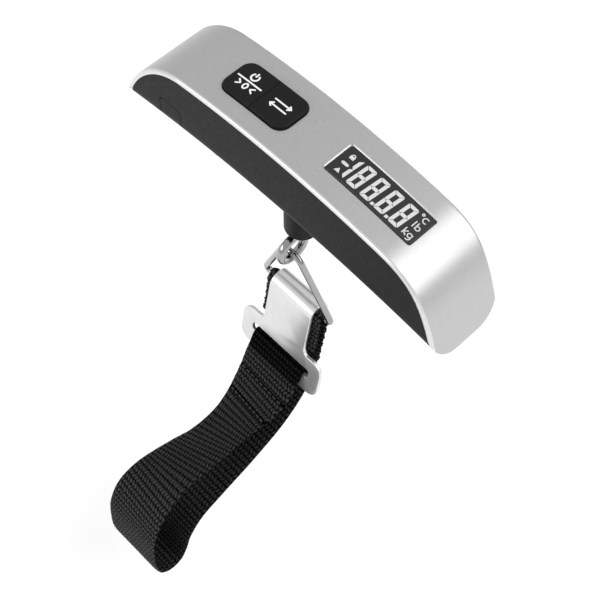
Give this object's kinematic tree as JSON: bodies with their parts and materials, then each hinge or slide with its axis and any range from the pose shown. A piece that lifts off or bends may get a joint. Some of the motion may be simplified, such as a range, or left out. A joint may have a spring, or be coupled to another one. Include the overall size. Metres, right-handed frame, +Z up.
{
  "type": "digital luggage scale",
  "caption": "Hand-held hanging scale: arched housing with silver cover, keys and display, load eye in a neck, wire ring and a webbing loop with a T-shaped hook plate.",
  "frame": {"origin": "on the load axis, in the middle of the hand grip, at the height of the lower edges of the housing's ends", "axes": "+Z up through the cover, +X along the housing towards the display end, -Y towards the battery door's tab and the webbing loop"},
  "size_m": [0.1634, 0.1206, 0.2268],
  "materials": {
    "silver_cover": "satin silver paint",
    "black_plastic": "fine matt moulding",
    "key_rubber": "matt silicone",
    "display_lens": "smoked clear window",
    "lcd_glass": "polished",
    "white_plastic": "plain moulding",
    "grey_rubber": "matt",
    "spring_steel": "bright",
    "circuit_board": "solder mask",
    "chip_resin": "cast resin",
    "nickel_steel": "nickel plated",
    "machined_aluminium": "machined",
    "gauge_film": "polyimide film",
    "zinc_steel": "zinc plated",
    "chrome_wire": "polished chrome",
    "plated_steel": "bright nickel plate",
    "black_webbing": "coarse woven polypropylene"
  },
  "bodies": {
    "housing": {"top_cover": "silver_cover", "lower_housing": "black_plastic", "neck_collar": "black_plastic", "display_lens": "display_lens", "lcd_glass": "lcd_glass", "lcd_backlight": "white_plastic", "lcd_frame": "white_plastic", "zebra_strip_front": "grey_rubber", "zebra_strip_rear": "grey_rubber", "keypad_membrane": "grey_rubber", "dome_switch_power": "spring_steel", "dome_switch_unit": "spring_steel", "circuit_board": "circuit_board", "processor_chip": "chip_resin", "coin_cell": "nickel_steel", "battery_contact_positive": "spring_steel", "battery_contact_negative": "spring_steel", "load_cell": "machined_aluminium", "strain_gauge_top": "gauge_film", "strain_gauge_bottom": "gauge_film", "load_cell_screw_inner": "zinc_steel", "load_cell_screw_outer": "zinc_steel", "shackle": "zinc_steel", "shackle_bolt": "zinc_steel", "eye_pin": "zinc_steel", "housing_screw_1": "zinc_steel", "housing_screw_2": "zinc_steel", "housing_screw_3": "zinc_steel", "housing_screw_4": "zinc_steel"},
    "power_key": {"power_key": "key_rubber"},
    "unit_key": {"unit_key": "key_rubber"},
    "battery_door": {"battery_door": "black_plastic"},
    "load_eye": {"load_eye": "chrome_wire"},
    "triangle_ring": {"triangle_ring": "chrome_wire"},
    "strap_end": {"strap_ring_loop": "black_webbing"},
    "hook_and_strap": {"hook_plate": "plated_steel", "strap": "black_webbing"}
  },
  "joints": [
    {"name": "power_key_press", "type": "slide", "parent": "housing", "child": "power_key", "axis": [0, 0, -1], "range_m": [0, 0.0007], "stiffness_N_per_m": 2500},
    {"name": "unit_key_press", "type": "slide", "parent": "housing", "child": "unit_key", "axis": [0, 0, -1], "range_m": [0, 0.0007], "stiffness_N_per_m": 2500},
    {"name": "battery_door_hinge", "type": "hinge", "parent": "housing", "child": "battery_door", "pos_m": [-0.049, 0.01315, -0.0023], "axis": [1, 0, 0], "range_deg": [0, 60]},
    {"name": "eye_swing", "type": "hinge", "parent": "housing", "child": "load_eye", "pos_m": [0, 0, -0.021], "axis": [1, 0, 0], "range_deg": [-8, 45]},
    {"name": "ring_swing", "type": "hinge", "parent": "load_eye", "child": "triangle_ring", "pos_m": [0, -0.00593, -0.03852], "axis": [1, 0, 0], "range_deg": [-30, 30]},
    {"name": "strap_swing", "type": "hinge", "parent": "triangle_ring", "child": "strap_end", "pos_m": [0, -0.0017, -0.07598], "axis": [1, 0, 0], "range_deg": [-30, 45]},
    {"name": "hook_release", "type": "slide", "parent": "strap_end", "child": "hook_and_strap", "axis": [0, 0.1779, 0.984], "range_m": [0, 0.008]}
  ]
}
